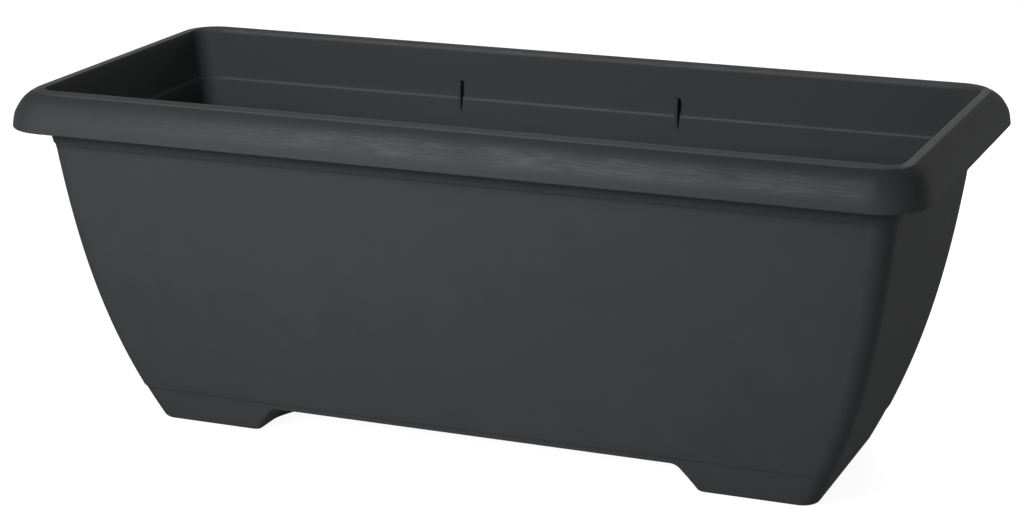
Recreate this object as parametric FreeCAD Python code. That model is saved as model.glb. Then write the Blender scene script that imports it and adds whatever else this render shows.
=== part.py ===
import FreeCAD, Part
import math
import os

V = FreeCAD.Vector

# Overall size, in millimetres
length = 600.0
width = 265.8
height = 227.8

# Moulded walls
wall = 2.6
floor_wall = 2.6
lip_wall = 2.4

# Rolled rim: a flat land at the mouth, wider on the long sides, then a curve out and down to a free lip
rim_reach_end = 18.0
rim_reach_side = 27.3
rim_land_end = 5.5
rim_land_side = 11.1
rim_drop = 22.5
mouth_corner = 10.5
land_corner = 21.4
lip_corner = 31.7
mouth_bevel = 0.8
# How far out and how far down the rim's curve has come, from the land to the lip
rim_out_shares = (0.0, 0.287, 0.535, 0.727, 0.881, 0.959, 1.0)
rim_down_shares = (0.0, 0.102, 0.237, 0.406, 0.59, 0.793, 1.0)

# Flared wall between the stacking step and the feet
body_set_back_end = 19.9
body_set_back_side = 26.8
end_flare = 53.0
side_flare = 36.8
body_corner = 13.6
foot_corner = 11.6
# Straight, rounding and late parts of the flare, which add up to the whole
end_flare_shares = (0.48, 0.05, 0.47)
side_flare_shares = (0.455, 0.345, 0.2)
body_level_shares = (0.0, 0.18, 0.4, 0.65, 0.85, 1.0)

# Stacking step: a sloped ledge inside and the matching step outside, all round
ledge_height = 193.4
ledge_width = 1.3
ledge_rise = 2.0

# Skirt round the feet, set in from the wall above it
skirt_height = 22.55
skirt_set_in = 0.8
foot_bevel = 1.6
inner_foot_bevel = 3.0

# Arch under the body, between the two feet
foot_length = 74.3
arch_height = 18.6
arch_slope_run = 12.5
arch_round = 7.0
arch_edge_bevel = 1.6

# Stacking ribs across the ledge on the two long walls
rib_place_share = 0.261
rib_thickness = 2.0
rib_above_ledge = 12.2
rib_below_ledge = 10.8
rib_stand_out = 2.8
rib_round = 2.0

# Drain holes in the raised floor, at these shares of its half length and half width, and their plugs
drain_shares = (0.44, 0.59)
drain_bore = 14.0
plug_gap = 0.3
plug_flange = 21.0
plug_flange_thickness = 2.2
plug_stem_below = 5.0
plug_taper = 0.8
plug_skin = 1.6
plug_knob = 7.0
plug_knob_height = 5.0
plug_knob_neck = 4.6
plug_knob_neck_height = 2.2

# Drain grid, which stands on legs and keeps the soil off the floor
grid_level_share = 0.2715
grid_thickness = 2.4
grid_gap = 2.0
grid_edge_depth = 7.0
grid_edge_thickness = 2.0
grid_slot_length = 26.0
grid_slot_width = 4.0
grid_slot_pitch_x = 34.0
grid_slot_pitch_y = 11.0
grid_margin = 12.0

# Legs that push into the grid from below
leg_top = 16.0
leg_foot = 20.0
leg_skin = 2.0
leg_sole = 2.4
peg = 8.0
peg_gap = 0.15
peg_lead = 0.6
leg_pad = 24.0
leg_stand_off = 13.5
middle_leg_share = 0.73

# All cuts run this far past the faces they cut
overrun = 5.0


def ring(half_x, half_y, radius, z):
    """Closed rounded rectangle, level, about the part's upright axis"""
    edges = []
    corners = ((1, -1), (1, 1), (-1, 1), (-1, -1))
    for i, (sx, sy) in enumerate(corners):
        centre = V(sx * (half_x - radius), sy * (half_y - radius), z)
        start = math.radians(90 * i - 90)
        points = []
        for turn_share in (0.0, 0.5, 1.0):
            angle = start + turn_share * math.pi / 2
            points.append(centre + V(radius * math.cos(angle), radius * math.sin(angle), 0))
        edges.append(Part.Arc(*points).toShape())
        nx, ny = corners[(i + 1) % len(corners)]
        turn = math.radians(90 * i)
        end = V(nx * (half_x - radius), ny * (half_y - radius), z)
        end = end + V(radius * math.cos(turn), radius * math.sin(turn), 0)
        edges.append(Part.LineSegment(points[-1], end).toShape())
    return Part.Wire(edges)


def tower(rings, ruled=False):
    """Solid through a stack of level rings"""
    return Part.makeLoft(rings, True, ruled)


def turned(profile, place):
    """Solid of revolution about an upright axis, from (radius, height) pairs"""
    points = [V(r, 0, z) for r, z in profile]
    face = Part.Face(Part.makePolygon(points + points[:1]))
    solid = face.revolve(V(0, 0, 0), V(0, 0, 1), 360)
    solid.translate(place)
    return solid


def upright_prism(points, thickness, axis):
    """Prism from (across, height) pairs: its length runs along axis, evenly to both sides"""
    half = thickness / 2
    if axis == "y":
        corners = [V(a, -half, z) for a, z in points]
        run = V(0, thickness, 0)
    else:
        corners = [V(-half, a, z) for a, z in points]
        run = V(thickness, 0, 0)
    return Part.Face(Part.makePolygon(corners + corners[:1])).extrude(run)


# The flared wall

lip_level = height - rim_drop
body_half_x = length / 2 - body_set_back_end
body_half_y = width / 2 - body_set_back_side


def flare_curve(depth, shares):
    """How much of the flare is reached at a share of the depth below the lip"""
    straight_part, rounding_part, late_part = shares
    return straight_part * depth + rounding_part * depth ** 2 + late_part * depth ** 3


def wall_ring(z, set_in):
    """The wall's outer outline at a height, set in by a thickness"""
    depth = (lip_level - z) / lip_level
    half_x = body_half_x - end_flare * flare_curve(depth, end_flare_shares) - set_in
    half_y = body_half_y - side_flare * flare_curve(depth, side_flare_shares) - set_in
    corner = body_corner + (foot_corner - body_corner) * depth - set_in
    return half_x, half_y, corner, z


def between(low, high, shares):
    return [low + (high - low) * share for share in shares]


step_level = ledge_height - wall
body = tower([ring(*wall_ring(z, 0)) for z in between(skirt_height, step_level, body_level_shares)])
skirt_levels = between(foot_bevel, skirt_height, (0.0, 0.5, 1.0))
skirt = tower([ring(*wall_ring(z, skirt_set_in)) for z in skirt_levels])
sole_half_x, sole_half_y, sole_corner, sole_z = wall_ring(foot_bevel, skirt_set_in)
sole = tower([
    ring(sole_half_x - foot_bevel, sole_half_y - foot_bevel, sole_corner - foot_bevel, 0),
    ring(sole_half_x, sole_half_y, sole_corner, sole_z),
], True)

# The upright band above the step, up to the mouth

mouth_half_x = length / 2 - rim_reach_end
mouth_half_y = width / 2 - rim_reach_side
low_half_x, low_half_y, low_corner, low_z = wall_ring(ledge_height, wall)
band_half_x = low_half_x + ledge_width
band_half_y = low_half_y + ledge_width
band_corner = low_corner + ledge_width
band_top = height - lip_wall / 2
band = tower([
    ring(*wall_ring(step_level, 0)),
    ring(band_half_x + wall, band_half_y + wall, band_corner + wall, step_level + ledge_rise),
    ring(mouth_half_x + wall, mouth_half_y + wall, mouth_corner + wall, band_top),
], True)

# The rolled rim, hollow underneath

overhang_end = rim_reach_end - rim_land_end
overhang_side = rim_reach_side - rim_land_side


def rim_ring(out_share, set_in, z):
    """The rim's outline at a share of its way from the land's edge to the lip, set in by a thickness"""
    half_x = mouth_half_x + rim_land_end + overhang_end * out_share - set_in
    half_y = mouth_half_y + rim_land_side + overhang_side * out_share - set_in
    corner = land_corner + (lip_corner - land_corner) * out_share - set_in
    return ring(half_x, half_y, corner, z)


overhang = (overhang_end + overhang_side) / 2
rim_levels = [height - rim_drop * share for share in rim_down_shares]
rim_rings = []
under_rings = []
last = len(rim_levels) - 1
for i, (out_share, z) in enumerate(zip(rim_out_shares, rim_levels)):
    before = max(i - 1, 0)
    after = min(i + 1, last)
    run_out = overhang * (rim_out_shares[after] - rim_out_shares[before])
    run_down = rim_levels[before] - rim_levels[after]
    run = math.hypot(run_out, run_down)
    rim_rings.append(rim_ring(out_share, 0, z))
    lip_in = lip_wall * run_down / run
    lip_z = z - lip_wall * run_out / run
    under_rings.append(rim_ring(out_share, lip_in, lip_z))
rim = tower(rim_rings[::-1])
under = tower(under_rings[::-1])
under_foot = tower([rim_ring(rim_out_shares[last], lip_in, lip_z - overrun), under_rings[last]], True)
rim = rim.cut(under.fuse(under_foot))

# The arch under the body and the raised floor over it

arch_reach = width + overrun
arch_half_span = wall_ring(0, skirt_set_in)[0] - foot_length
arch_top_half = arch_half_span - arch_slope_run
slope_length = math.hypot(arch_slope_run, arch_height)


def arch_outline(grow, foot_z):
    """Half the arch's outline, grown by a thickness square to its faces"""
    lean = arch_slope_run / arch_height
    spread = grow * slope_length / arch_height
    foot = (arch_half_span + spread - lean * foot_z, foot_z)
    return [foot, (arch_top_half + spread - lean * grow, arch_height + grow)]


def arch_block(grow, foot_z, rounding):
    right = arch_outline(grow, foot_z)
    left = [(-x, z) for x, z in reversed(right)]
    block = upright_prism(right + left, arch_reach, "y")
    top_z = right[1][1]
    corner_x = right[1][0]
    edges = []
    for edge in block.Edges:
        middle = edge.CenterOfMass
        if abs(middle.z - top_z) < overrun / 100 and abs(abs(middle.x) - corner_x) < overrun / 100:
            edges.append(edge)
    return block.makeFillet(rounding, edges)


arch = arch_block(0, -overrun, arch_round)
bevel_low = arch_half_span + arch_edge_bevel
bevel = [(bevel_low, 0), (arch_half_span - arch_edge_bevel * arch_slope_run / arch_height, arch_edge_bevel)]
bevel = bevel + [(-x, z) for x, z in reversed(bevel)]
arch_edge = upright_prism(bevel, arch_reach, "y")
saddle = arch_block(floor_wall, -overrun, arch_round + floor_wall)

# The hollow inside

foot_floor = floor_wall
hollow_low = foot_floor + inner_foot_bevel
hollow_levels = between(hollow_low, ledge_height, body_level_shares)
hollow = tower([ring(*wall_ring(z, wall)) for z in hollow_levels])
well_half_x, well_half_y, well_corner, well_z = wall_ring(hollow_low, wall)
well = tower([
    ring(well_half_x - inner_foot_bevel, well_half_y - inner_foot_bevel, well_corner - inner_foot_bevel, foot_floor),
    ring(well_half_x, well_half_y, well_corner, well_z),
], True)
bevel_level = height - mouth_bevel
mouth = tower([
    ring(low_half_x, low_half_y, low_corner, low_z),
    ring(band_half_x, band_half_y, band_corner, ledge_height + ledge_rise),
    ring(mouth_half_x, mouth_half_y, mouth_corner, bevel_level),
], True)
mouth_edge = tower([
    ring(mouth_half_x, mouth_half_y, mouth_corner, bevel_level),
    ring(mouth_half_x + mouth_bevel, mouth_half_y + mouth_bevel, mouth_corner + mouth_bevel, height),
], True)
hollow = hollow.fuse(well).cut(saddle)

shell = body.fuse([skirt, sole, band, rim])
shell = shell.cut(hollow)
shell = shell.cut(mouth.fuse(mouth_edge))
shell = shell.cut(arch.fuse(arch_edge))

# Stacking ribs, each tapered into the wall below the ledge

rib_place = rib_place_share * length / 2
rib_foot = ledge_height - rib_below_ledge
rib_top = ledge_height + rib_above_ledge
rib_face = low_half_y - rib_stand_out
root = wall / 2
foot_wall_y = wall_ring(rib_foot, wall)[1]
band_height = height - ledge_height - ledge_rise
top_wall_y = band_half_y + (mouth_half_y - band_half_y) * (rib_above_ledge - ledge_rise) / band_height
rib_points = [
    (foot_wall_y + root, rib_foot),
    (foot_wall_y, rib_foot),
    (rib_face, ledge_height - rib_stand_out),
    (rib_face, rib_top - rib_round),
    (rib_face + rib_round, rib_top),
    (top_wall_y + root, rib_top),
    (band_half_y + root, ledge_height + ledge_rise),
    (low_half_y + root, ledge_height - wall / 2),
]
for side in (1, -1):
    points = [(side * y, z) for y, z in rib_points]
    for end in (1, -1):
        rib = upright_prism(points, rib_thickness, "x")
        rib.translate(V(end * rib_place, 0, 0))
        shell = shell.fuse(rib)

# Drain holes through the raised floor

raised_floor = arch_height + floor_wall
drain_x = drain_shares[0] * arch_top_half
drain_y = drain_shares[1] * wall_ring(raised_floor, wall)[1]
drains = [V(x * drain_x, y * drain_y, raised_floor) for x in (-1, 1) for y in (-1, 1)]
for place in drains:
    low = place - V(0, 0, floor_wall + overrun)
    shell = shell.cut(Part.makeCylinder(drain_bore / 2, floor_wall + 2 * overrun, low))
shell = shell.removeSplitter()

# Drain plugs: a hollow stem, a flange on the floor and a knob to pull

stem = drain_bore / 2 - plug_gap
stem_low = stem - plug_taper
stem_depth = floor_wall + plug_stem_below
knob_z = plug_flange_thickness + plug_knob_neck_height
plug_profile = [
    (0, -plug_skin),
    (stem_low - plug_skin, -plug_skin),
    (stem_low - plug_skin, -stem_depth),
    (stem_low, -stem_depth),
    (stem, -floor_wall),
    (stem, 0),
    (plug_flange / 2, 0),
    (plug_flange / 2, plug_flange_thickness),
    (plug_knob_neck / 2, plug_flange_thickness),
    (plug_knob_neck / 2, knob_z),
    (plug_knob / 2, knob_z),
    (plug_knob / 2, knob_z + plug_knob_height),
    (0, knob_z + plug_knob_height),
]
plugs = [turned(plug_profile, place) for place in drains]

# Drain grid: a slotted plate with a turned-down edge

grid_level = grid_level_share * height
grid_under = grid_level - grid_thickness
edge_low = grid_level - grid_edge_depth
low_x, low_y, low_r, low_level = wall_ring(edge_low, wall + grid_gap)
plate = ring(low_x, low_y, low_r, grid_under)
inner_edge = [low_x - grid_edge_thickness, low_y - grid_edge_thickness, low_r - grid_edge_thickness]
well_near = arch_outline(floor_wall, foot_floor)[0][0]
well_far = well_half_x - inner_foot_bevel
corner_leg_x = (well_near + well_far) / 2
corner_leg_y = well_half_y - inner_foot_bevel - leg_foot / 2 - leg_stand_off
middle_leg_x = middle_leg_share * arch_top_half
legs = [V(x * corner_leg_x, y * corner_leg_y, foot_floor) for x in (-1, 1) for y in (-1, 1)]
middle_legs = [V(x * middle_leg_x, 0, raised_floor) for x in (-1, 1)]


straight = (grid_slot_length - grid_slot_width) / 2


def slot(x, y):
    """Round-ended slot in the plate, along X"""
    radius = grid_slot_width / 2
    near = y - radius
    far = y + radius
    z = grid_under
    edges = [
        Part.LineSegment(V(x - straight, near, z), V(x + straight, near, z)).toShape(),
        Part.Arc(V(x + straight, near, z), V(x + straight + radius, y, z), V(x + straight, far, z)).toShape(),
        Part.LineSegment(V(x + straight, far, z), V(x - straight, far, z)).toShape(),
        Part.Arc(V(x - straight, far, z), V(x - straight - radius, y, z), V(x - straight, near, z)).toShape(),
    ]
    return Part.Wire(edges)


def clear_of_legs(x, y):
    for leg in legs + middle_legs:
        past_end = max(abs(x - leg.x) - straight, 0)
        if math.hypot(past_end, y - leg.y) < (leg_pad + grid_slot_width) / 2:
            return False
    return True


slots = []
count_x = int((low_x - grid_margin - grid_slot_length / 2) / grid_slot_pitch_x)
count_y = int((low_y - grid_margin - grid_slot_width / 2) / grid_slot_pitch_y)
for i in range(-count_x, count_x + 1):
    for j in range(-count_y, count_y + 1):
        if clear_of_legs(i * grid_slot_pitch_x, j * grid_slot_pitch_y):
            slots.append(slot(i * grid_slot_pitch_x, j * grid_slot_pitch_y))
peg_holes = []
for leg in legs + middle_legs:
    centre = V(leg.x, leg.y, grid_under)
    peg_holes.append(Part.Wire(Part.makeCircle(peg / 2 + peg_gap, centre)))
openings = Part.makeCompound([Part.Face(wire) for wire in slots + peg_holes])
plate_face = Part.Face(plate).cut(openings)
grid = plate_face.extrude(V(0, 0, grid_thickness))
edge_outer = ring(low_x, low_y, low_r, edge_low)
edge_inner = ring(inner_edge[0], inner_edge[1], inner_edge[2], edge_low)
edge_face = Part.Face(edge_outer).cut(Part.Face(edge_inner))
edge = edge_face.extrude(V(0, 0, grid_under - edge_low))
grid = grid.fuse(edge).removeSplitter()

# Legs: hollow tapered posts with a sole, and a peg that pushes up through the plate


def leg_solid(foot):
    tall = grid_under - foot.z
    profile = [
        (0, 0),
        (leg_foot / 2, 0),
        (leg_top / 2, tall),
        (peg / 2, tall),
        (peg / 2, tall + grid_thickness - peg_lead),
        (peg / 2 - peg_lead, tall + grid_thickness),
        (0, tall + grid_thickness),
        (0, tall - leg_sole),
        (leg_top / 2 - leg_skin, tall - leg_sole),
        (leg_foot / 2 - leg_skin, leg_sole),
        (0, leg_sole),
    ]
    return turned(profile, foot)


nodes = {"trough_shell": shell, "drain_grid": grid}
for name, place in zip(("left_front", "left_rear", "right_front", "right_rear"), legs):
    nodes["grid_leg_" + name] = leg_solid(place)
for name, place in zip(("left", "right"), middle_legs):
    nodes["grid_leg_middle_" + name] = leg_solid(place)
for name, plug in zip(("left_front", "left_rear", "right_front", "right_rear"), plugs):
    nodes["drain_plug_" + name] = plug

os.makedirs("parts", exist_ok=True)
for name, shape in nodes.items():
    shape.exportStep("parts/" + name + ".step")
    print(name, shape.isValid(), len(shape.Solids), round(shape.Volume), shape.BoundBox)
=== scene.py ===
"""Trough planter of matte anthracite plastic, with its drain grid, legs and plugs"""
import math

import bmesh
import bpy
from mathutils import Matrix, Vector


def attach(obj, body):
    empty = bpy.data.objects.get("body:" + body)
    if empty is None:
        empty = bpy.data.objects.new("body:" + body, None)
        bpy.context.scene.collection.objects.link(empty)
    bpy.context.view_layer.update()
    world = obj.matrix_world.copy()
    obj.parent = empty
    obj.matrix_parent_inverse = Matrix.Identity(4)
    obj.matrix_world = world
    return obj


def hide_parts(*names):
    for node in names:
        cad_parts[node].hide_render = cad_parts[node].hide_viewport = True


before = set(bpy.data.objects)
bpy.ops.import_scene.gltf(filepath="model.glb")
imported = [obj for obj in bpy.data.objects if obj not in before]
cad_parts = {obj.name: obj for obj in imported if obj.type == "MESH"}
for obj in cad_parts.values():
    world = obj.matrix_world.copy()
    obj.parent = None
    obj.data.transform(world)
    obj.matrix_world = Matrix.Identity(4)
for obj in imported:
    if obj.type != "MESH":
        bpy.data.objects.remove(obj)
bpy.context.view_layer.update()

# Sizes of the moulding, in millimetres
MM = 0.001
length = 600.0
width = 265.8
height = 227.8
wall = 2.6
floor_wall = 2.6
lip_wall = 2.4
rim_reach_end = 18.0
rim_reach_side = 27.3
rim_land_end = 5.5
rim_land_side = 11.1
rim_drop = 22.5
mouth_corner = 10.5
land_corner = 21.4
lip_corner = 31.7
mouth_round = 0.9
land_round = 0.7
rim_out_shares = (0.0, 0.287, 0.535, 0.727, 0.881, 0.959, 1.0)
rim_down_shares = (0.0, 0.102, 0.237, 0.406, 0.59, 0.793, 1.0)
body_set_back_end = 19.9
body_set_back_side = 26.8
end_flare = 53.0
side_flare = 36.8
body_corner = 13.6
foot_corner = 11.6
end_flare_shares = (0.48, 0.05, 0.47)
side_flare_shares = (0.455, 0.345, 0.2)
ledge_height = 193.4
ledge_width = 1.3
ledge_rise = 2.0
step_round = 0.5
outer_step_round = 1.1
skirt_height = 22.55
skirt_set_in = 0.8
skirt_round = 0.7
# Heights from the middle of the skirt's upper edge, counted in rounds, and how far it is set in there
skirt_edge_shares = ((-2.0, 1.0), (-1.0, 0.93), (0.0, 0.5), (1.0, 0.07), (2.0, 0.0))
foot_bevel = 1.6
inner_foot_bevel = 3.0
foot_length = 74.3
arch_height = 18.6
arch_slope_run = 12.5
arch_round = 7.0
arch_edge_round = 3.2
foot_bend = 13.0
foot_bend_shares = (0.13, 0.44)
rib_place_share = 0.261
rib_thickness = 2.0
rib_above_ledge = 12.2
rib_below_ledge = 10.8
rib_stand_out = 2.8
rib_round = 2.0
rib_edge_round = 0.45
drain_shares = (0.44, 0.59)
drain_bore = 14.0
plug_gap = 0.3
plug_flange = 21.0
plug_flange_thickness = 2.2
plug_stem_below = 5.0
plug_taper = 0.8
plug_skin = 1.6
plug_knob = 7.0
plug_knob_height = 5.0
plug_knob_neck = 4.6
plug_knob_neck_height = 2.2
plug_hollow_round = 0.4
plug_stem_round = 0.6
plug_shoulder_round = 0.5
plug_root_round = 0.3
plug_flange_low_round = 0.6
plug_flange_round = 0.9
plug_neck_round = 0.5
plug_knob_low_round = 0.8
plug_knob_round = 1.8
grid_level_share = 0.2715
grid_thickness = 2.4
grid_gap = 2.0
grid_edge_depth = 7.0
grid_edge_thickness = 2.0
grid_slot_length = 26.0
grid_slot_width = 4.0
grid_slot_pitch_x = 34.0
grid_slot_pitch_y = 11.0
grid_margin = 12.0
leg_top = 16.0
leg_foot = 20.0
leg_sole_round = 1.2
leg_top_round = 0.7
peg_root_round = 0.3
peg = 8.0
peg_gap = 0.15
peg_lead = 0.6
leg_pad = 24.0
leg_stand_off = 13.5
middle_leg_share = 0.73

# How finely the outlines are divided
edge_columns = 5
foot_columns = 10
middle_columns = 30
corner_columns = 12
end_columns = 16
across_columns = 30
body_rows = 26
rim_rows = 26
land_shares = (0.1, 0.5, 0.9)
band_rows = 6
bore_columns = 40
lathe_columns = 56
curve_steps = 24
saddle_rows = 7
step_rows = 5
mouth_rows = 5
land_edge_rows = 4
small_round_rows = 3
rib_round_rows = 6
lathe_round_rows = 4
slot_corner_points = 7
plate_corner_points = 12
peg_hole_points = 32
shell_sharp_degrees = 38
sharp_degrees = 40

# How strong the painted highlights on the edges of the rim and the ledge are, from 0 to 1
rim_highlight = 1.0
ledge_highlight = 0.8

# Levels and half sizes that follow from them
lip_level = height - rim_drop
step_level = ledge_height - wall
raised_floor = arch_height + floor_wall
foot_floor = floor_wall
overhang_end = rim_reach_end - rim_land_end
overhang_side = rim_reach_side - rim_land_side
overhang = (overhang_end + overhang_side) / 2
lip_round = lip_wall / 3
mouth_half_x = length / 2 - rim_reach_end
mouth_half_y = width / 2 - rim_reach_side
body_half_x = length / 2 - body_set_back_end
body_half_y = width / 2 - body_set_back_side


def flare_curve(depth, shares):
    """How much of the flare is reached at a share of the depth below the lip"""
    straight_part, rounding_part, late_part = shares
    return straight_part * depth + rounding_part * depth ** 2 + late_part * depth ** 3


def flared(z, set_in):
    """Half length, half width and corner radius of the flared wall at a height"""
    depth = (lip_level - z) / lip_level
    half_x = body_half_x - end_flare * flare_curve(depth, end_flare_shares) - set_in
    half_y = body_half_y - side_flare * flare_curve(depth, side_flare_shares) - set_in
    return half_x, half_y, body_corner + (foot_corner - body_corner) * depth - set_in


def spread_evenly(low, high, count):
    return [low + (high - low) * i / count for i in range(count + 1)]


def mixed(a, b, share):
    return tuple(p + (q - p) * share for p, q in zip(a, b))


# Outline of the arch and of the saddle over it, as half profiles from the foot up

arch_half_span = flared(0, skirt_set_in)[0] - foot_length
arch_top_half = arch_half_span - arch_slope_run
slope_length = math.hypot(arch_slope_run, arch_height)
lean = arch_slope_run / arch_height


def saddle_profile(grow, foot_z, foot_round, crown_round, rows):
    """Rounded half profile (x, z, set in) from the foot at foot_z to the level crown"""
    top_z = arch_height + grow
    spread = grow * slope_length / arch_height
    crown_x = arch_top_half + spread - lean * grow
    tilt = math.atan2(arch_height, arch_slope_run)
    reach = crown_round * math.tan(tilt / 2)
    points = []
    for turn in spread_evenly(0, math.pi / 2, rows):
        z = foot_z + foot_round * (1 - math.cos(turn))
        back = foot_round * (1 - math.sin(turn))
        points.append((arch_half_span + spread - lean * z + back, z, back))
    low = points[-1][:2]
    tangent = (crown_x + reach * math.cos(tilt), top_z - reach * math.sin(tilt))
    for share in spread_evenly(0, 1, rows)[1:]:
        x, z = mixed(low, tangent, share)
        points.append((x, z, 0.0))
    centre = (crown_x - reach, top_z - crown_round)
    for turn in spread_evenly(tilt, 0, rows)[1:]:
        x = centre[0] + crown_round * math.sin(turn)
        points.append((x, centre[1] + crown_round * math.cos(turn), 0.0))
    return points


def smooth_curve(points, count):
    """Even samples of a curve through the points"""
    ends = [tuple(2 * a - b for a, b in zip(points[0], points[1]))]
    ends.append(tuple(2 * a - b for a, b in zip(points[-1], points[-2])))
    path = ends[:1] + list(points) + ends[1:]
    dense = []
    for i in range(1, len(path) - 2):
        p0, p1, p2, p3 = (Vector(p) for p in path[i - 1:i + 3])
        d1 = (p1 - p0).length ** 0.5
        d2 = (p2 - p1).length ** 0.5
        d3 = (p3 - p2).length ** 0.5
        m1 = (p2 - p1) + d2 * ((p1 - p0) / d1 - (p2 - p0) / (d1 + d2))
        m2 = (p2 - p1) + d2 * ((p3 - p2) / d3 - (p3 - p1) / (d2 + d3))
        for t in spread_evenly(0, 1, curve_steps)[:-1]:
            a = 2 * t ** 3 - 3 * t ** 2 + 1
            b = t ** 3 - 2 * t ** 2 + t
            c = -2 * t ** 3 + 3 * t ** 2
            d = t ** 3 - t ** 2
            dense.append(a * p1 + b * m1 + c * p2 + d * m2)
    dense.append(Vector(path[-2]))
    runs = [0.0]
    for a, b in zip(dense, dense[1:]):
        runs.append(runs[-1] + (b - a).length)
    samples = []
    at = 0
    for along in spread_evenly(0, runs[-1], count):
        while at < len(dense) - 2 and runs[at + 1] < along:
            at += 1
        share = (along - runs[at]) / (runs[at + 1] - runs[at])
        samples.append(tuple(dense[at].lerp(dense[at + 1], share)))
    return samples


def linked(name, data):
    """New object in the scene"""
    made = bpy.data.objects.new(name, data)
    bpy.context.scene.collection.objects.link(made)
    return made


class Skin:
    """Closed mesh in millimetres, built from rows of points that share their columns"""

    def __init__(self):
        self.bm = bmesh.new()

    def row(self, points):
        return [self.bm.verts.new(Vector(p) * MM) for p in points]

    def band(self, low, high, closed=True):
        count = len(low)
        for i in range(count if closed else count - 1):
            j = (i + 1) % count
            self.bm.faces.new((low[i], low[j], high[j], high[i]))

    def cap(self, loop):
        self.bm.faces.new(loop)

    def holed_sheet(self, outline, holes):
        """Flat sheet inside a closed row, with closed rows left open in it"""
        edges = []
        for loop in [outline] + holes:
            for a, b in zip(loop, loop[1:] + loop[:1]):
                edge = self.bm.edges.get((a, b))
                edges.append(edge if edge else self.bm.edges.new((a, b)))
        bmesh.ops.triangle_fill(self.bm, use_beauty=True, edges=edges)

    def add_mesh(self, mesh):
        self.bm.from_mesh(mesh)

    def piece(self, name, sharp_degrees):
        bmesh.ops.recalc_face_normals(self.bm, faces=self.bm.faces[:])
        mesh = bpy.data.meshes.new(name)
        self.bm.to_mesh(mesh)
        self.bm.free()
        mesh.shade_smooth()
        mesh.set_sharp_from_angle(angle=math.radians(sharp_degrees))
        return linked(name, mesh)


# The trough: rows of points round the outline, up the outside, over the rim and down the inside


def right_strip(half_x, half_y, corner, z, split, rounded=0.0):
    """Points round the right end, from the front at the arch's edge, rounded or straight, to the rear"""
    side = half_x - corner
    front = []
    for i, turn in enumerate(spread_evenly(0, math.pi / 2, edge_columns)[:-1]):
        straight = (split + arch_edge_round * i / edge_columns, -half_y, z)
        curved_x = split + arch_edge_round * (1 - math.cos(turn))
        curved_y = -half_y + arch_edge_round * (1 - math.sin(turn))
        front.append(mixed(straight, (curved_x, curved_y, z), rounded))
    front += [(x, -half_y, z) for x in spread_evenly(split + arch_edge_round, side, foot_columns)]
    points = list(front)
    for turn in spread_evenly(-math.pi / 2, 0, corner_columns)[1:]:
        points.append((side + corner * math.cos(turn), -half_y + corner + corner * math.sin(turn), z))
    points += [(half_x, y, z) for y in spread_evenly(corner - half_y, half_y - corner, end_columns)[1:]]
    for turn in spread_evenly(0, math.pi / 2, corner_columns)[1:-1]:
        points.append((side + corner * math.cos(turn), half_y - corner + corner * math.sin(turn), z))
    return points + [(x, -y, z) for x, y, z in reversed(front)]


def half_turned(points):
    return [(-x, -y, z) for x, y, z in points]


def full_ring(half_x, half_y, corner, z, split):
    right = right_strip(half_x, half_y, corner, z, split)
    rear = [(x, half_y, z) for x in spread_evenly(split, -split, middle_columns)[1:-1]]
    return right + rear + half_turned(right) + half_turned(rear)


strip_count = 2 * (edge_columns + foot_columns + corner_columns) + end_columns + 1
middle_count = middle_columns - 1


def ring_parts(ring):
    """Right strip, left strip, front middle run and rear middle run of a full ring"""
    right = ring[:strip_count]
    rear = ring[strip_count:strip_count + middle_count]
    left = ring[strip_count + middle_count:2 * strip_count + middle_count]
    front = ring[2 * strip_count + middle_count:]
    return right, left, front, rear


def rim_size(out_share, set_in):
    """Half sizes and corner of the rim at a share of its way from the land's edge to the lip"""
    half_x = mouth_half_x + rim_land_end + overhang_end * out_share - set_in
    half_y = mouth_half_y + rim_land_side + overhang_side * out_share - set_in
    return half_x, half_y, land_corner + (lip_corner - land_corner) * out_share - set_in


def mouth_size(grow):
    return mouth_half_x + grow, mouth_half_y + grow, mouth_corner + grow


def rounded_turn(before, corner, after, radius, rows):
    """Points that round the corner of a profile, from the run before it to the run after it"""
    start = Vector(corner) + (Vector(before) - Vector(corner)).normalized() * radius
    end = Vector(corner) + (Vector(after) - Vector(corner)).normalized() * radius
    points = []
    for t in spread_evenly(0, 1, rows):
        points.append(tuple((1 - t) ** 2 * start + 2 * t * (1 - t) * Vector(corner) + t ** 2 * end))
    return points


def drain_places():
    x = drain_shares[0] * arch_top_half
    y = drain_shares[1] * flared(raised_floor, wall)[1]
    return [(sx * x, sy * y) for sx in (-1, 1) for sy in (-1, 1)]


def bore_row(place, radius, z):
    turns = spread_evenly(0, 2 * math.pi, bore_columns)[:-1]
    return [(place[0] + radius * math.cos(a), place[1] + radius * math.sin(a), z) for a in turns]


def foot_rows(skin, profile, set_in):
    """Rows of both feet up to the crown, whose last row is a full ring"""
    rows = []
    rise = profile[-1][1] - profile[0][1]
    for x, z, back in profile[:-1]:
        half_x, half_y, corner = flared(z, set_in)
        below_crown = (profile[-1][1] - z) / rise
        right = right_strip(half_x - back, half_y - back, corner - back, z, x, below_crown)
        rows.append((skin.row(right), skin.row(half_turned(right))))
    x, z = profile[-1][:2]
    crown = skin.row(full_ring(*flared(z, set_in), z, x))
    rows.append(ring_parts(crown)[:2])
    for low, high in zip(rows, rows[1:]):
        for a, b in zip(low, high):
            skin.band(a, b, closed=False)
    return rows, crown


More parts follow.
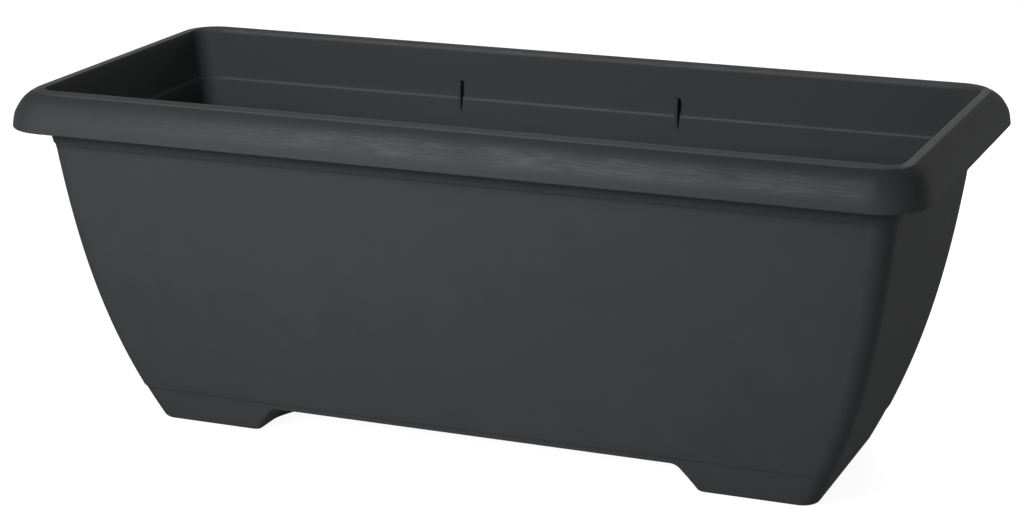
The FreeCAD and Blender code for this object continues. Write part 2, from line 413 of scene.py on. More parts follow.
def across(skin, strip, below_crown):
    """Row from a strip's last point back to its first under the body, bent towards the middle"""
    start = strip[-1].co / MM
    end = strip[0].co / MM
    low, high = foot_bend_shares
    inner = []
    for share in spread_evenly(0, 1, across_columns)[1:-1]:
        point = start.lerp(end, share)
        way = min(max((min(share, 1 - share) - low) / (high - low), 0.0), 1.0)
        point.x -= math.copysign(foot_bend * below_crown * way * way * (3 - 2 * way), point.x)
        inner.append(point)
    return [strip[-1]] + skin.row(inner) + [strip[0]]


def saddle(skin, rows, crown, holes):
    """Soles, sloped sides and level crown between the feet"""
    crossings = []
    crown_z = crown[0].co.z
    rise = crown_z - rows[0][0][0].co.z
    for pair in rows:
        below_crown = (crown_z - pair[0][0].co.z) / rise
        crossings.append([across(skin, strip, below_crown) for strip in pair])
    for side in (0, 1):
        skin.cap(rows[0][side] + crossings[0][side][1:-1])
        for low, high in zip(crossings, crossings[1:]):
            skin.band(low[side], high[side], closed=False)
    right, left, front, rear = ring_parts(crown)
    right_line, left_line = crossings[-1]
    outline = [left[-1]] + front + [right[0]] + right_line[1:-1][::-1] + [right[-1]] + rear + [left[0]]
    outline += left_line[1:-1][::-1]
    skin.holed_sheet(outline, holes)


def shell_profile(split_out, split_in):
    """Full rings from the skirt up the outside, over the rim and down the inside to the floor"""
    rings = []

    def add(size, z, split, worn=0.0):
        rings.append((full_ring(*size, z, split), worn))

    # Skirt's upper edge, where the wall above stands over it
    for rounds, share in skirt_edge_shares:
        z = skirt_height + rounds * skirt_round
        add(flared(z, skirt_set_in * share), z, split_out)
    for z in spread_evenly(skirt_height + 2 * skirt_round, step_level - 2 * outer_step_round, body_rows)[1:]:
        add(flared(z, 0), z, split_out)

    # Sloped step under the rim, with a rounded root and a rounded edge, and the band above it
    root = flared(step_level, 0)
    low = flared(ledge_height, wall)
    ledge = tuple(size + ledge_width for size in low)
    edge = tuple(size + wall for size in ledge)
    edge_z = step_level + ledge_rise
    step_wide = edge[1] - root[1]
    step_low = (0, step_level)
    step_high = (step_wide, edge_z)
    turns = rounded_turn((0, 0), step_low, step_high, outer_step_round, step_rows)
    turns += rounded_turn(step_low, step_high, (step_wide, height), outer_step_round, step_rows)
    for out, z in turns:
        add(mixed(root, edge, out / step_wide), z, split_out)

    # Hollow underside of the rim: flat under the land, then along the curve to the lip
    shares = zip(rim_out_shares, rim_down_shares)
    curve = smooth_curve([(overhang * out, height - rim_drop * down) for out, down in shares], rim_rows)
    under = []
    for i, (out, z) in enumerate(curve):
        before = curve[max(i - 1, 0)]
        after = curve[min(i + 1, len(curve) - 1)]
        run = math.hypot(after[0] - before[0], after[1] - before[1])
        set_in = lip_wall * (before[1] - after[1]) / run
        under.append((out / overhang, set_in, z - lip_wall * (after[0] - before[0]) / run))
    top_z = under[0][2]
    top = mouth_size(wall)
    for z in spread_evenly(edge_z + 2 * outer_step_round, top_z - 2 * step_round, band_rows):
        add(mixed(edge, top, (z - edge_z) / (top_z - edge_z)), z, split_out)
    under_wide = rim_land_side - wall - under[0][1]
    for out, z in rounded_turn((0, 0), (0, top_z), (under_wide, top_z), step_round, small_round_rows):
        add(mixed(top, rim_size(0, under[0][1]), out / under_wide), z, split_out)
    for out_share, set_in, z in under[:-1]:
        add(rim_size(out_share, set_in), z, split_out)

    # Free lip, rounded on both edges, then the rim's face up to the land
    lip_in = (overhang - under[-1][1], lip_level)
    lip_out = (overhang, lip_level)
    above_in = (overhang * under[-2][0] - under[-2][1], under[-2][2])
    turns = rounded_turn(above_in, lip_in, lip_out, lip_round, small_round_rows)
    turns += rounded_turn(lip_in, lip_out, curve[-2], lip_round, small_round_rows)
    for out, z in turns:
        add(rim_size(1, overhang - out), z, split_out)
    for out, z in curve[-2:0:-1]:
        add(rim_size(out / overhang, 0), z, split_out)

    # Flat land with a soft outer edge, and the rounded edge of the mouth
    # The land's soft outer edge carries a painted highlight
    for out, z in rounded_turn(curve[1], (0, height), (-overhang, height), land_round, land_edge_rows):
        add(rim_size(out / overhang, 0) if out > 0 else rim_size(0, -out), z, split_out, rim_highlight)
    land = rim_size(0, land_round)
    for share in land_shares:
        add(mixed(land, mouth_size(mouth_round), share), height, split_out + (split_in - split_out) * share)
    # The mouth's rounded edge carries a painted highlight
    for grow, z in rounded_turn((rim_land_end, height), (0, height), (0, 0), mouth_round, mouth_rows):
        add(mouth_size(grow), z, split_in, rim_highlight)

    # Upright inside band down to the sloped ledge, with its rounded root and edge
    ledge_z = ledge_height + ledge_rise
    for z in spread_evenly(height - 3 * mouth_round, ledge_z + 2 * step_round, band_rows):
        add(mixed(ledge, mouth_size(0), (z - ledge_z) / (height - ledge_z)), z, split_in)
    ledge_high = (ledge_width, ledge_z)
    ledge_low = (0, ledge_height)
    for out, z in rounded_turn((ledge_width, height), ledge_high, ledge_low, step_round, small_round_rows):
        add(mixed(low, ledge, out / ledge_width), z, split_in)
    add(mixed(low, ledge, 0.5), ledge_height + ledge_rise / 2, split_in)
    # The ledge's lower edge carries a painted highlight
    for out, z in rounded_turn(ledge_high, ledge_low, (0, 0), step_round, small_round_rows):
        add(mixed(low, ledge, out / ledge_width), z, split_in, ledge_highlight)
    for z in spread_evenly(ledge_height - 2 * step_round, raised_floor, body_rows)[:-1]:
        add(flared(z, wall), z, split_in)
    return rings


def trough_mesh():
    skin = Skin()
    # Vertex layer with each ring's share of painted edge highlight, which the shell's material reads
    highlight_layer = skin.bm.verts.layers.float.new("worn")
    outside = saddle_profile(0, 0, foot_bevel, arch_round, saddle_rows)
    inside = saddle_profile(floor_wall, foot_floor, inner_foot_bevel, arch_round + floor_wall, saddle_rows)
    places = drain_places()
    low_bores = [skin.row(bore_row(place, drain_bore / 2, arch_height)) for place in places]
    high_bores = [skin.row(bore_row(place, drain_bore / 2, raised_floor)) for place in places]
    for low, high in zip(low_bores, high_bores):
        skin.band(low, high)
    rows, crown = foot_rows(skin, outside, skirt_set_in)
    saddle(skin, rows, crown, low_bores)
    well_rows, floor_ring = foot_rows(skin, inside, wall)
    saddle(skin, well_rows, floor_ring, high_bores)
    rings = []
    for points, worn in shell_profile(outside[-1][0], inside[-1][0]):
        rings.append(skin.row(points))
        for corner in rings[-1]:
            corner[highlight_layer] = worn
    stack = [crown] + rings + [floor_ring]
    for low, high in zip(stack, stack[1:]):
        skin.band(low, high)
    return skin


# Node trees


class Wire:
    """A node's output that takes part in sums: an expression adds its Math nodes"""

    def __init__(self, board, socket):
        self.board = board
        self.socket = socket

    def maths(self, operation, a, b=0.0, c=0.0):
        return self.board.add("ShaderNodeMath", {"operation": operation}, {0: a, 1: b, 2: c})

    def __add__(self, other):
        return self.maths("ADD", self, other)

    def __radd__(self, other):
        return self.maths("ADD", other, self)

    def __sub__(self, other):
        return self.maths("SUBTRACT", self, other)

    def __rsub__(self, other):
        return self.maths("SUBTRACT", other, self)

    def __mul__(self, other):
        return self.maths("MULTIPLY", self, other)

    def __rmul__(self, other):
        return self.maths("MULTIPLY", other, self)

    def __truediv__(self, other):
        return self.maths("DIVIDE", self, other)

    def __pow__(self, other):
        return self.maths("POWER", self, other)

    def __abs__(self):
        return self.maths("ABSOLUTE", self)

    def above(self, level):
        return self.maths("GREATER_THAN", self, level)

    def ramp(self, low, high):
        """0 below low and 1 above high, smooth between them"""
        settings = {"interpolation_type": "SMOOTHSTEP"}
        return self.board.add("ShaderNodeMapRange", settings, {"Value": self, 1: low, 2: high})

    def between(self, rise, fall):
        """1 between two soft borders, each from its start to its end, and 0 outside them"""
        return self.ramp(*rise) * (1 - self.ramp(*fall))


class Board:
    """A node tree whose nodes come from their type, their settings and their sockets"""

    def __init__(self, tree):
        self.tree = tree

    def add(self, kind, settings=None, sockets=None, output=0):
        node = self.tree.nodes.new(kind)
        for key, value in (settings or {}).items():
            setattr(node, key, value)
        for key, value in (sockets or {}).items():
            for one in value if isinstance(value, list) else [value]:
                if isinstance(one, Wire):
                    self.tree.links.new(one.socket, node.inputs[key])
                else:
                    node.inputs[key].default_value = one
        return Wire(self, node.outputs[output]) if node.outputs else node


# Finishes


class Finish(Board):
    """A material built on the piece's own coordinates"""

    def __init__(self, name):
        self.material = bpy.data.materials.new(name)
        self.material.use_nodes = True
        super().__init__(self.material.node_tree)
        self.tree.nodes.clear()
        self.place = self.add("ShaderNodeTexCoord", output="Object")
        split = self.add("ShaderNodeSeparateXYZ", sockets={0: self.place}).socket.node
        self.x, self.y, self.z = (Wire(self, out) for out in split.outputs)

    def noise(self, per_metre, detail, roughness=0.5):
        """Noise whose patches number this many to the metre, or so many along each axis"""
        place = self.place
        if not isinstance(per_metre, (int, float)):
            place = self.add("ShaderNodeMapping", sockets={"Vector": place, "Scale": per_metre})
            per_metre = 1.0
        sockets = {"Vector": place, "Scale": per_metre, "Detail": detail, "Roughness": roughness}
        return self.add("ShaderNodeTexNoise", sockets=sockets)

    def blend(self, share, low, high):
        settings = {"data_type": "RGBA", "clamp_factor": True}
        return self.add("ShaderNodeMix", settings, {0: share, 6: low, 7: high}, output=2)

    def close(self, colour, roughness, relief, bump_distance, bump_strength, **constants):
        """The finished material, with the relief as bump and constants for the other sockets"""
        sockets = {"Height": relief, "Distance": bump_distance, "Strength": bump_strength}
        bump = self.add("ShaderNodeBump", sockets=sockets)
        sockets = {"Base Color": colour, "Roughness": roughness, "Normal": bump, **constants}
        shader = self.add("ShaderNodeBsdfPrincipled", sockets=sockets)
        self.add("ShaderNodeOutputMaterial", sockets={"Surface": shader})
        return self.material


# Soft borders of the shell's scuffs, of the painted reflection on the end lands and of the fade of the
# painted edge highlights, in metres on the part
scuff_heights = ((0.2088, 0.2168), (0.2192, 0.2262))
scuff_face = (0.117, 0.123)
scuff_growth = (-0.22, -0.02)
scuff_end = (0.269, 0.276)
end_land_height = (0.2268, 0.2274)
end_land_borders = ((0.2815, 0.2825), (0.2865, 0.288))
end_highlight_fade = (0.255, 0.27)

# Darkest and lightest colours of the plastics, and those of the scuffs and of the painted highlights on the
# edges
shell_dark = (0.0282, 0.0295, 0.0317, 1)
shell_light = (0.0406, 0.0425, 0.0456, 1)
scuff_pale = (0.125, 0.129, 0.137, 1)
highlight_pale = (0.12, 0.124, 0.13, 1)
grid_dark = (0.016, 0.0162, 0.0165, 1)
grid_light = (0.028, 0.0282, 0.0285, 1)
leg_dark = (0.017, 0.0172, 0.0178, 1)
leg_light = (0.029, 0.0292, 0.0298, 1)
plug_dark = (0.045, 0.046, 0.048, 1)
plug_light = (0.075, 0.076, 0.079, 1)


def anthracite_plastic():
    """Matte mass-coloured plastic: fine spark-eroded grain, faint flow marks, a scuffed rim, painted
    highlights on the rim's and ledge's edges and a painted reflection on the end lands
    """
    finish = Finish("anthracite_plastic")
    grain = finish.noise(1500.0, 2.0)
    mottle = finish.noise(70.0, 3.0)
    drift = finish.noise((3.0, 5.0, 7.0), 2.0)
    streaks = finish.noise((70.0, 70.0, 1300.0), 5.0, 0.66)
    patches = finish.noise((24.0, 24.0, 50.0), 2.0)
    # Painted highlight on the edges of the land, the mouth and the ledge, read from the vertex layer
    worn = finish.add("ShaderNodeAttribute", {"attribute_name": "worn"}, output="Fac")
    far_x = abs(finish.x)
    along_side = (1 - far_x.ramp(*scuff_end)) * (0.15 + 0.85 * finish.x.ramp(*scuff_growth))
    on_rim = finish.z.between(*scuff_heights) * abs(finish.y).ramp(*scuff_face)
    scuff = on_rim * along_side * patches.ramp(0.14, 0.62) * (0.4 + 1.1 * streaks.ramp(0.4, 0.7))
    # Painted reflection of the bright surroundings on the flat land at both ends; the painted edge highlights
    # fade towards the ends
    end_land_reflection = finish.z.ramp(*end_land_height) * far_x.between(*end_land_borders)
    highlight_mask = worn * (1 - 0.6 * far_x.ramp(*end_highlight_fade)) + 0.8 * end_land_reflection
    # The painted highlights and reflection, broken up by the streaks
    edge = highlight_mask * (0.75 + 0.9 * (streaks - 0.5))
    tone = 0.5 + 0.55 * (mottle - 0.5) + 0.6 * (drift - 0.5) + 0.3 * (grain - 0.5)
    colour = finish.blend(tone, shell_dark, shell_light)
    colour = finish.blend(0.34 * scuff, colour, scuff_pale)
    # Pale colour blended in for the painted highlights and reflection
    colour = finish.blend(0.6 * edge, colour, highlight_pale)
    roughness = 0.74 + 0.1 * (mottle - 0.5) + 0.08 * (grain - 0.5) - 0.08 * scuff - 0.12 * edge
    relief = grain + 0.25 * mottle + 0.3 * scuff
    gloss = {"IOR": 1.45, "Specular IOR Level": 0.32}
    return finish.close(colour, roughness, relief, bump_distance=0.00025, bump_strength=0.22, **gloss)


def grid_plastic():
    """Black reground plastic with soft flow lines along the plate"""
    finish = Finish("grid_black_plastic")
    grain = finish.noise(1100.0, 2.0)
    flow = finish.noise((10.0, 60.0, 60.0), 4.0, 0.6)
    tone = 0.5 + 0.8 * (flow - 0.5) + 0.3 * (grain - 0.5)
    colour = finish.blend(tone, grid_dark, grid_light)
    roughness = 0.46 + 0.16 * (flow - 0.5)
    relief = grain + 0.5 * flow
    return finish.close(colour, roughness, relief, bump_distance=0.0003, bump_strength=0.25, IOR=1.5)


def leg_plastic():
    """Black plastic of the legs, drawn up and down by the mould"""
    finish = Finish("leg_black_plastic")
    grain = finish.noise(1300.0, 2.0)
    drawn = finish.noise((260.0, 260.0, 14.0), 3.0)
    tone = 0.5 + 0.7 * (drawn - 0.5) + 0.3 * (grain - 0.5)
    colour = finish.blend(tone, leg_dark, leg_light)
    roughness = 0.48 + 0.14 * (drawn - 0.5)
    relief = grain + 0.4 * drawn
    return finish.close(colour, roughness, relief, bump_distance=0.00025, bump_strength=0.25, IOR=1.5)


def plug_plastic():
    """Soft grey plastic of the plugs, dull and a little bloomed"""
    finish = Finish("plug_soft_plastic")
    grain = finish.noise(900.0, 3.0)
    bloom = finish.noise(160.0, 3.0)
    tone = 0.5 + 0.8 * (bloom - 0.5) + 0.4 * (grain - 0.5)
    colour = finish.blend(tone, plug_dark, plug_light)
    roughness = 0.62 + 0.14 * (bloom - 0.5)
    return finish.close(colour, roughness, grain, bump_distance=0.0003, bump_strength=0.3, IOR=1.47)


shell_finish = anthracite_plastic()
grid_finish = grid_plastic()
leg_finish = leg_plastic()
plug_finish = plug_plastic()


# Shapes that repeat, made by Geometry Nodes


class Pattern(Board):
    """A Geometry Nodes tree with named inputs, run once on a base mesh"""

    def __init__(self, name, inputs):
        tree = bpy.data.node_groups.new(name, "GeometryNodeTree")
        super().__init__(tree)
        tree.interface.new_socket("Geometry", in_out="INPUT", socket_type="NodeSocketGeometry")
        tree.interface.new_socket("Geometry", in_out="OUTPUT", socket_type="NodeSocketGeometry")
        self.values = {}
        for label, value in inputs.items():
            kind = "NodeSocketInt" if isinstance(value, int) else "NodeSocketFloat"
            item = tree.interface.new_socket(label, in_out="INPUT", socket_type=kind)
            self.values[item.identifier] = value
        entry = self.add("NodeGroupInput").socket.node
        self.base = Wire(self, entry.outputs[0])
        self.given = {label: Wire(self, entry.outputs[label]) for label in inputs}

    def vector(self, x=0.0, y=0.0, z=0.0):
        return self.add("ShaderNodeCombineXYZ", sockets={0: x, 1: y, 2: z})

    def row_of_points(self, count, place):
        """Points along X, the first at minus the place and the next at the place"""
        first = self.vector(-1 * place)
        sockets = {"Count": count, "Start Location": first, "Offset": self.vector(2 * place)}
        return self.add("GeometryNodeMeshLine", {"mode": "OFFSET"}, sockets)

    def mesh(self, name, base, made, material):
        """The tree's result on the base mesh, as a plain mesh"""
        real = self.add("GeometryNodeRealizeInstances", sockets={0: made})
        dressed = self.add("GeometryNodeSetMaterial", sockets={0: real, "Material": material})
        self.add("NodeGroupOutput", sockets={0: dressed})
        holder = linked(name, base)
        modifier = holder.modifiers.new(name, "NODES")
        modifier.node_group = self.tree
        for identifier, value in self.values.items():
            modifier[identifier] = value
        evaluated = holder.evaluated_get(bpy.context.evaluated_depsgraph_get())
        result = bpy.data.meshes.new_from_object(evaluated)
        holder.modifiers.remove(modifier)
        bpy.data.objects.remove(holder)
        return result


def rib_blank():
    """One stacking rib on the rear wall, at the part's middle, with its root in the wall"""
    low_y = flared(ledge_height, wall)[1]
    foot_z = ledge_height - rib_below_ledge
    top_z = ledge_height + rib_above_ledge
    face_y = low_y - rib_stand_out
    root_y = low_y + wall / 2
    foot_y = flared(foot_z, wall)[1]
    profile = [(root_y, foot_z), (foot_y + wall / 4, foot_z), (face_y, ledge_height - rib_stand_out)]
    profile += rounded_turn((face_y, 0), (face_y, top_z), (root_y, top_z), rib_round, rib_round_rows)
    profile += [(root_y + ledge_width / 2, top_z)]
    half = rib_thickness / 2
    skin = Skin()
    left = skin.row([(-half, y, z) for y, z in profile])
    right = skin.row([(half, y, z) for y, z in profile])
    skin.band(left, right)
    skin.cap(left)
    skin.cap(right)
    front = {v for row in (left, right) for v in row[1:-1]}
    edges = [e for e in skin.bm.edges if set(e.verts) <= front]
    edges = [e for e in edges if abs(e.verts[0].co.x - e.verts[1].co.x) < MM / 100]
    bmesh.ops.bevel(skin.bm, geom=edges, offset=rib_edge_round * MM, segments=2, affect="EDGES", profile=0.5)
    bmesh.ops.recalc_face_normals(skin.bm, faces=skin.bm.faces[:])
    blank = bpy.data.meshes.new("rib_blank")
    skin.bm.to_mesh(blank)
    skin.bm.free()
    return blank


def stacking_ribs():
    """The rib set out in pairs on the rear wall, and turned about for the front wall"""
    pattern = Pattern("stacking_ribs", {"Rib Place": rib_place_share * length / 2 * MM, "Ribs per Wall": 2})
    points = pattern.row_of_points(pattern.given["Ribs per Wall"], pattern.given["Rib Place"])
    rear = pattern.add("GeometryNodeInstanceOnPoints", sockets={"Points": points, "Instance": pattern.base})
    sockets = {"Points": points, "Instance": pattern.base, "Rotation": (0.0, 0.0, math.pi)}
    front = pattern.add("GeometryNodeInstanceOnPoints", sockets=sockets)
    both = pattern.add("GeometryNodeJoinGeometry", sockets={0: [rear, front]})
    return pattern.mesh("stacking_ribs", rib_blank(), both, shell_finish)


# The drain grid and its legs

grid_level = grid_level_share * height
grid_under = grid_level - grid_thickness
edge_low = grid_level - grid_edge_depth
plate_x, plate_y, plate_corner = flared(edge_low, wall + grid_gap)
well_x, well_y = flared(foot_floor + inner_foot_bevel, wall)[:2]
well_near = arch_half_span + floor_wall * slope_length / arch_height - lean * foot_floor
corner_leg_x = (well_near + well_x - inner_foot_bevel) / 2
corner_leg_y = well_y - inner_foot_bevel - leg_foot / 2 - leg_stand_off
middle_leg_x = middle_leg_share * arch_top_half
side_names = {(-1, -1): "left_front", (-1, 1): "left_rear", (1, -1): "right_front", (1, 1): "right_rear"}


def slotted_plate():
    """Plate with rows of round-ended slots, none of them over a leg, and a turned-down edge"""
    columns = int((plate_x - grid_margin - grid_slot_length / 2) / grid_slot_pitch_x)
    rows = int((plate_y - grid_margin - grid_slot_width / 2) / grid_slot_pitch_y)
    sizes = {
        "Plate Length": 2 * plate_x * MM,
        "Plate Width": 2 * plate_y * MM,
        "Plate Corner": plate_corner * MM,
        "Plate Thickness": grid_thickness * MM,
        "Plate Underside": grid_under * MM,
        "Edge Thickness": grid_edge_thickness * MM,
        "Edge Low": edge_low * MM,
        "Slot Length": grid_slot_length * MM,
        "Slot Width": grid_slot_width * MM,
        "Slot Pitch Along": grid_slot_pitch_x * MM,
        "Slot Pitch Across": grid_slot_pitch_y * MM,
        "Slot Columns": 2 * columns + 1,
        "Slot Rows": 2 * rows + 1,
        "Leg Pad": leg_pad * MM,
        "Peg Hole": (peg / 2 + peg_gap) * MM,
        "Corner Leg Along": corner_leg_x * MM,
        "Corner Leg Across": corner_leg_y * MM,
        "Middle Leg Along": middle_leg_x * MM,
    }
    pattern = Pattern("slotted_plate", sizes)
    given = pattern.given
    merge_distance = 0.000002

    def rounded_outline(long, wide, radius, count):
        sockets = {"Width": long, "Height": wide}
        curve = pattern.add("GeometryNodeCurvePrimitiveQuadrilateral", sockets=sockets)
        sockets = {"Curve": curve, "Count": count, "Radius": radius, "Limit Radius": True}
        return pattern.add("GeometryNodeFilletCurve", {"mode": "POLY"}, sockets)

    def plate_outline(narrower, corner):
        long = given["Plate Length"] - narrower
        wide = given["Plate Width"] - narrower
        return rounded_outline(long, wide, corner, plate_corner_points)

    def point_grid(long, wide, columns, rows):
        sockets = {"Size X": long, "Size Y": wide, "Vertices X": columns, "Vertices Y": rows}
        return pattern.add("GeometryNodeMeshGrid", sockets=sockets)

    def raised_sheet(curves, low, thick):
        """Closed plate whose underside is the sheet that the curves bound, at a height"""
        sheet = pattern.add("GeometryNodeFillCurve", {"mode": "NGONS"}, {"Curve": curves})
        sockets = {"Mesh": sheet, "Offset": (0.0, 0.0, 1.0), "Offset Scale": thick, "Individual": False}
        walls = pattern.add("GeometryNodeExtrudeMesh", {"mode": "FACES"}, sockets)
        under = pattern.add("GeometryNodeFlipFaces", sockets={"Mesh": sheet})
        both = pattern.add("GeometryNodeJoinGeometry", sockets={0: [walls, under]})
        sockets = {"Geometry": both, "Distance": merge_distance}
        closed = pattern.add("GeometryNodeMergeByDistance", sockets=sockets)
        sockets = {"Geometry": closed, "Translation": pattern.vector(z=low)}
        return pattern.add("GeometryNodeTransform", sockets=sockets)

    # Slots on a grid of points, less the points over a leg
    long = given["Slot Pitch Along"] * (given["Slot Columns"] - 1)
    wide = given["Slot Pitch Across"] * (given["Slot Rows"] - 1)
    points = point_grid(long, wide, given["Slot Columns"], given["Slot Rows"])
    position = pattern.add("GeometryNodeInputPosition")
    at = pattern.add("ShaderNodeSeparateXYZ", sockets={0: position}).socket.node
    along = abs(Wire(pattern, at.outputs[0]))
    aside = abs(Wire(pattern, at.outputs[1]))
    straight = (given["Slot Length"] - given["Slot Width"]) / 2

    def near_leg(leg_along, leg_aside):
        past_end = along.maths("MAXIMUM", abs(along - leg_along) - straight, 0.0)
        gap = (past_end * past_end + (aside - leg_aside) * (aside - leg_aside)) ** 0.5
        return 1 - gap.above((given["Leg Pad"] + given["Slot Width"]) / 2)

    at_corners = near_leg(given["Corner Leg Along"], given["Corner Leg Across"])
    at_middles = near_leg(given["Middle Leg Along"], 0.0)
    sockets = {"Geometry": points, "Selection": at_corners + at_middles}
    points = pattern.add("GeometryNodeDeleteGeometry", {"domain": "POINT"}, sockets)
    slot_width = given["Slot Width"]
    slot = rounded_outline(given["Slot Length"], slot_width, slot_width / 2, slot_corner_points)
    slots = pattern.add("GeometryNodeInstanceOnPoints", sockets={"Points": points, "Instance": slot})

    # Peg holes over the legs
    corners = point_grid(2 * given["Corner Leg Along"], 2 * given["Corner Leg Across"], 2, 2)
    middles = pattern.row_of_points(2, given["Middle Leg Along"])
    legs = pattern.add("GeometryNodeJoinGeometry", sockets={0: [corners, middles]})
    sockets = {"Resolution": peg_hole_points, "Radius": given["Peg Hole"]}
    hole = pattern.add("GeometryNodeCurvePrimitiveCircle", sockets=sockets)
    holes = pattern.add("GeometryNodeInstanceOnPoints", sockets={"Points": legs, "Instance": hole})

    outline = plate_outline(0.0, given["Plate Corner"])
    cut = pattern.add("GeometryNodeJoinGeometry", sockets={0: [outline, slots, holes]})
    cut = pattern.add("GeometryNodeRealizeInstances", sockets={0: cut})
    plate = raised_sheet(cut, given["Plate Underside"], given["Plate Thickness"])

    # Turned-down edge, which laps a little into the plate
    edge = given["Edge Thickness"]
    lap = given["Plate Thickness"] / 4
    hair = lap / 12
    outer = plate_outline(hair, given["Plate Corner"])
    inner = plate_outline(2 * edge, given["Plate Corner"] - edge)
    both = pattern.add("GeometryNodeJoinGeometry", sockets={0: [outer, inner]})
    drop = given["Plate Underside"] - given["Edge Low"] + lap
    turned_down = raised_sheet(both, given["Edge Low"], drop)
    whole = pattern.add("GeometryNodeJoinGeometry", sockets={0: [plate, turned_down]})
    return pattern.mesh("slotted_plate", bpy.data.meshes.new("plate_start"), whole, grid_finish)


def turned_mesh(profile, place):
    """Solid turned about an upright axis, from (radius, height, rounding) points"""
    points = [profile[0][:2]]
    for before, (radius, z, rounding), after in zip(profile, profile[1:], profile[2:]):
        points += rounded_turn(before[:2], (radius, z), after[:2], rounding, lathe_round_rows)
    points.append(profile[-1][:2])
    skin = Skin()
    x, y, low = place
    turns = spread_evenly(0, 2 * math.pi, lathe_columns)[:-1]
    rows = []
    for radius, z in points[1:-1]:
        rows.append(skin.row([(x + radius * math.cos(a), y + radius * math.sin(a), low + z) for a in turns]))
    for low_row, high_row in zip(rows, rows[1:]):
        skin.band(low_row, high_row)
    for end, row in ((points[0], rows[0]), (points[-1], rows[-1])):
        pole = skin.row([(x, y, low + end[1])])[0]
        for a, b in zip(row, row[1:] + row[:1]):
            skin.bm.faces.new((a, b, pole))
    return skin


def leg_piece(name, place):
    tall = grid_under - place[2]
    profile = [
        (0, 0, 0),
        (leg_foot / 2, 0, leg_sole_round),
        (leg_top / 2, tall, leg_top_round),
        (peg / 2, tall, peg_root_round),
        (peg / 2, tall + grid_thickness, peg_lead),
        (0, tall + grid_thickness, 0),
    ]
    return turned_mesh(profile, place).piece(name, sharp_degrees)


def plug_piece(name, place):
    stem = drain_bore / 2 - plug_gap
    stem_low = stem - plug_taper
    depth = floor_wall + plug_stem_below
    knob_z = plug_flange_thickness + plug_knob_neck_height
    profile = [
        (0, -plug_skin, 0),
        (stem_low - plug_skin, -plug_skin, plug_hollow_round),
        (stem_low - plug_skin, -depth, plug_hollow_round),
        (stem_low, -depth, plug_stem_round),
        (stem, -floor_wall, plug_shoulder_round),
        (stem, 0, plug_root_round),
        (plug_flange / 2, 0, plug_flange_low_round),
        (plug_flange / 2, plug_flange_thickness, plug_flange_round),
        (plug_knob_neck / 2, plug_flange_thickness, plug_neck_round),
        (plug_knob_neck / 2, knob_z, plug_neck_round),
        (plug_knob / 2, knob_z, plug_knob_low_round),
        (plug_knob / 2, knob_z + plug_knob_height, plug_knob_round),
        (0, knob_z + plug_knob_height, 0),
    ]
    return turned_mesh(profile, place).piece(name, sharp_degrees)


def dress(piece, finish, body, node):
    """A finished piece takes its material and its body, and the CAD node that it stands for is hidden"""
    piece.data.materials.clear()
    piece.data.materials.append(finish)
    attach(piece, body)
    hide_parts(node)


trough = trough_mesh()
trough.add_mesh(stacking_ribs())
moulding = trough.piece("trough_moulding", shell_sharp_degrees)
dress(moulding, shell_finish, "trough", "trough_shell")

plate = Skin()
plate.add_mesh(slotted_plate())
drain_plate = plate.piece("slotted_drain_plate", sharp_degrees)
dress(drain_plate, grid_finish, "grid", "drain_grid")

for (sx, sy), side in side_names.items():
    leg = leg_piece("drain_leg_" + side, (sx * corner_leg_x, sy * corner_leg_y, foot_floor))
    dress(leg, leg_finish, "grid", "grid_leg_" + side)
for sx, side in ((-1, "left"), (1, "right")):
    leg = leg_piece("drain_leg_middle_" + side, (sx * middle_leg_x, 0, raised_floor))
    dress(leg, leg_finish, "grid", "grid_leg_middle_" + side)
for side, (x, y) in zip(side_names.values(), drain_places()):
    plug = plug_piece("plug_" + side, (x, y, raised_floor))
    dress(plug, plug_finish, "plug_" + side, "drain_plug_" + side)


# Stage: a pale floor, soft light and the camera


def stage_floor():
    mesh = bpy.data.meshes.new("studio_floor")
    reach = 6.0
    level = -0.0003
    corners = [(-reach, -reach, level), (reach, -reach, level), (reach, reach, level), (-reach, reach, level)]
    mesh.from_pydata(corners, [], [(0, 1, 2, 3)])
    floor = linked("studio_floor", mesh)
    paint = Finish("studio_floor_paint")
    seen = paint.add("ShaderNodeLightPath", output="Is Camera Ray")
    shaders = {0: seen}
    # Grey and glow of the floor that lights the part, and of the floor that the camera sees
    for at, (grey, glow) in enumerate(((0.8, 0.1), (0.2, 0.93)), start=1):
        look = {"Base Color": (grey, grey, grey, 1), "Roughness": 0.9}
        look.update({"Emission Color": (1, 1, 1, 1), "Emission Strength": glow})
        shaders[at] = paint.add("ShaderNodeBsdfPrincipled", sockets=look)
    both = paint.add("ShaderNodeMixShader", sockets=shaders)
    paint.add("ShaderNodeOutputMaterial", sockets={"Surface": both})
    mesh.materials.append(paint.material)
    floor.visible_glossy = False


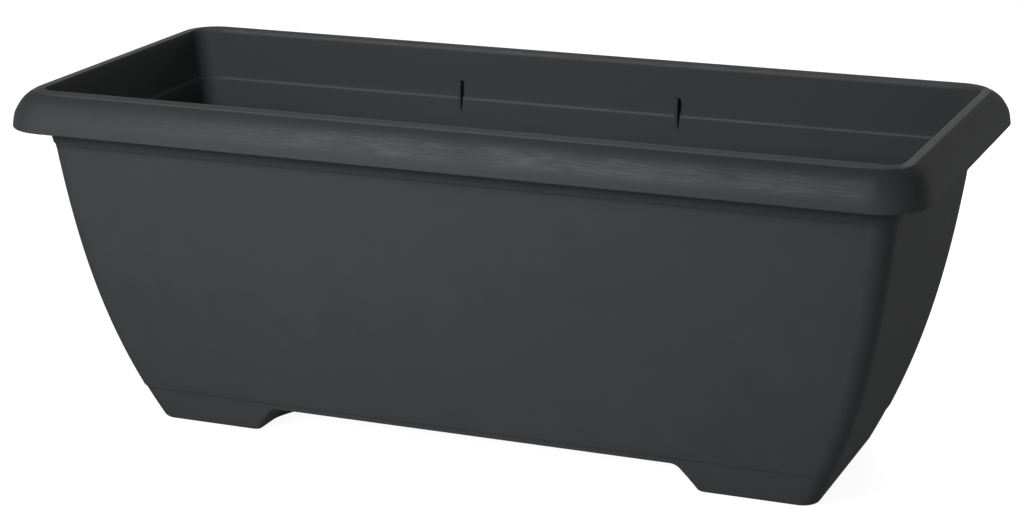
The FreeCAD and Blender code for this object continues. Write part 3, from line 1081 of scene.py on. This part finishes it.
def softbox(name, place, aim, size, watts, spread_degrees):
    """Area light that the camera doesn't see, at a place and aimed at a point"""
    light = bpy.data.lights.new(name, "AREA")
    light.shape = "RECTANGLE"
    light.size, light.size_y = size
    light.energy = watts
    light.spread = math.radians(spread_degrees)
    lamp = linked(name, light)
    lamp.visible_camera = False
    lamp.location = place
    lamp.rotation_mode = "QUATERNION"
    lamp.rotation_quaternion = (Vector(aim) - Vector(place)).to_track_quat("-Z", "Y")


def studio_light():
    world = bpy.data.worlds.new("studio_white")
    world.use_nodes = True
    background = world.node_tree.nodes["Background"].inputs
    background["Color"].default_value = (1, 1, 1, 1)
    background["Strength"].default_value = 0.14
    bpy.context.scene.world = world
    # Name, place, aim, size, watts, spread in degrees
    lamps = (
        ("key_softbox", (-0.26, -1.0, 0.58), (-0.05, -0.1, 0.17), (0.3, 0.3), 4.8, 120),
        ("backdrop_panel", (-0.4, 3.0, 1.0), (0, 0, 0.2), (4.0, 1.6), 30, 180),
        ("right_fill_strip", (1.25, 0.8, 0.13), (0.28, 0, 0.13), (1.0, 0.24), 2.5, 180),
        ("left_fill_strip", (-1.25, 0.85, 0.13), (-0.28, 0, 0.13), (1.0, 0.24), 2.7, 180),
        ("rear_strip", (-0.1, 1.15, 0.115), (-0.1, 0, 0.115), (0.6, 0.18), 4.6, 120),
        ("inside_fill", (0, 0, 1.6), (0, 0, 0), (0.34, 0.08), 0.06, 6),
    )
    for lamp in lamps:
        softbox(*lamp)


def photo_camera():
    """Camera at the photo's distance, angle and lens"""
    target = Vector((0.016087, -0.035875, 0.125698))
    distance = 1.634417
    turn = math.radians(22.5753)
    raised = math.radians(16.4896)
    roll = math.radians(-0.5115)
    level = math.cos(raised)
    forward = Vector((-math.sin(turn) * level, math.cos(turn) * level, -math.sin(raised)))
    right = forward.cross(Vector((0, 0, 1))).normalized()
    up = right.cross(forward)
    across = math.cos(roll) * right + math.sin(roll) * up
    upright = -math.sin(roll) * right + math.cos(roll) * up
    camera = linked("photo_camera", bpy.data.cameras.new("photo_camera"))
    camera.data.sensor_fit = "HORIZONTAL"
    camera.data.sensor_width = 36.0
    camera.data.lens = 90.7913
    place = Matrix((across, upright, -forward)).transposed().to_4x4()
    place.translation = target - forward * distance
    camera.matrix_world = place
    bpy.context.scene.camera = camera


stage_floor()
studio_light()
photo_camera()
bpy.context.scene.view_settings.view_transform = "Standard"
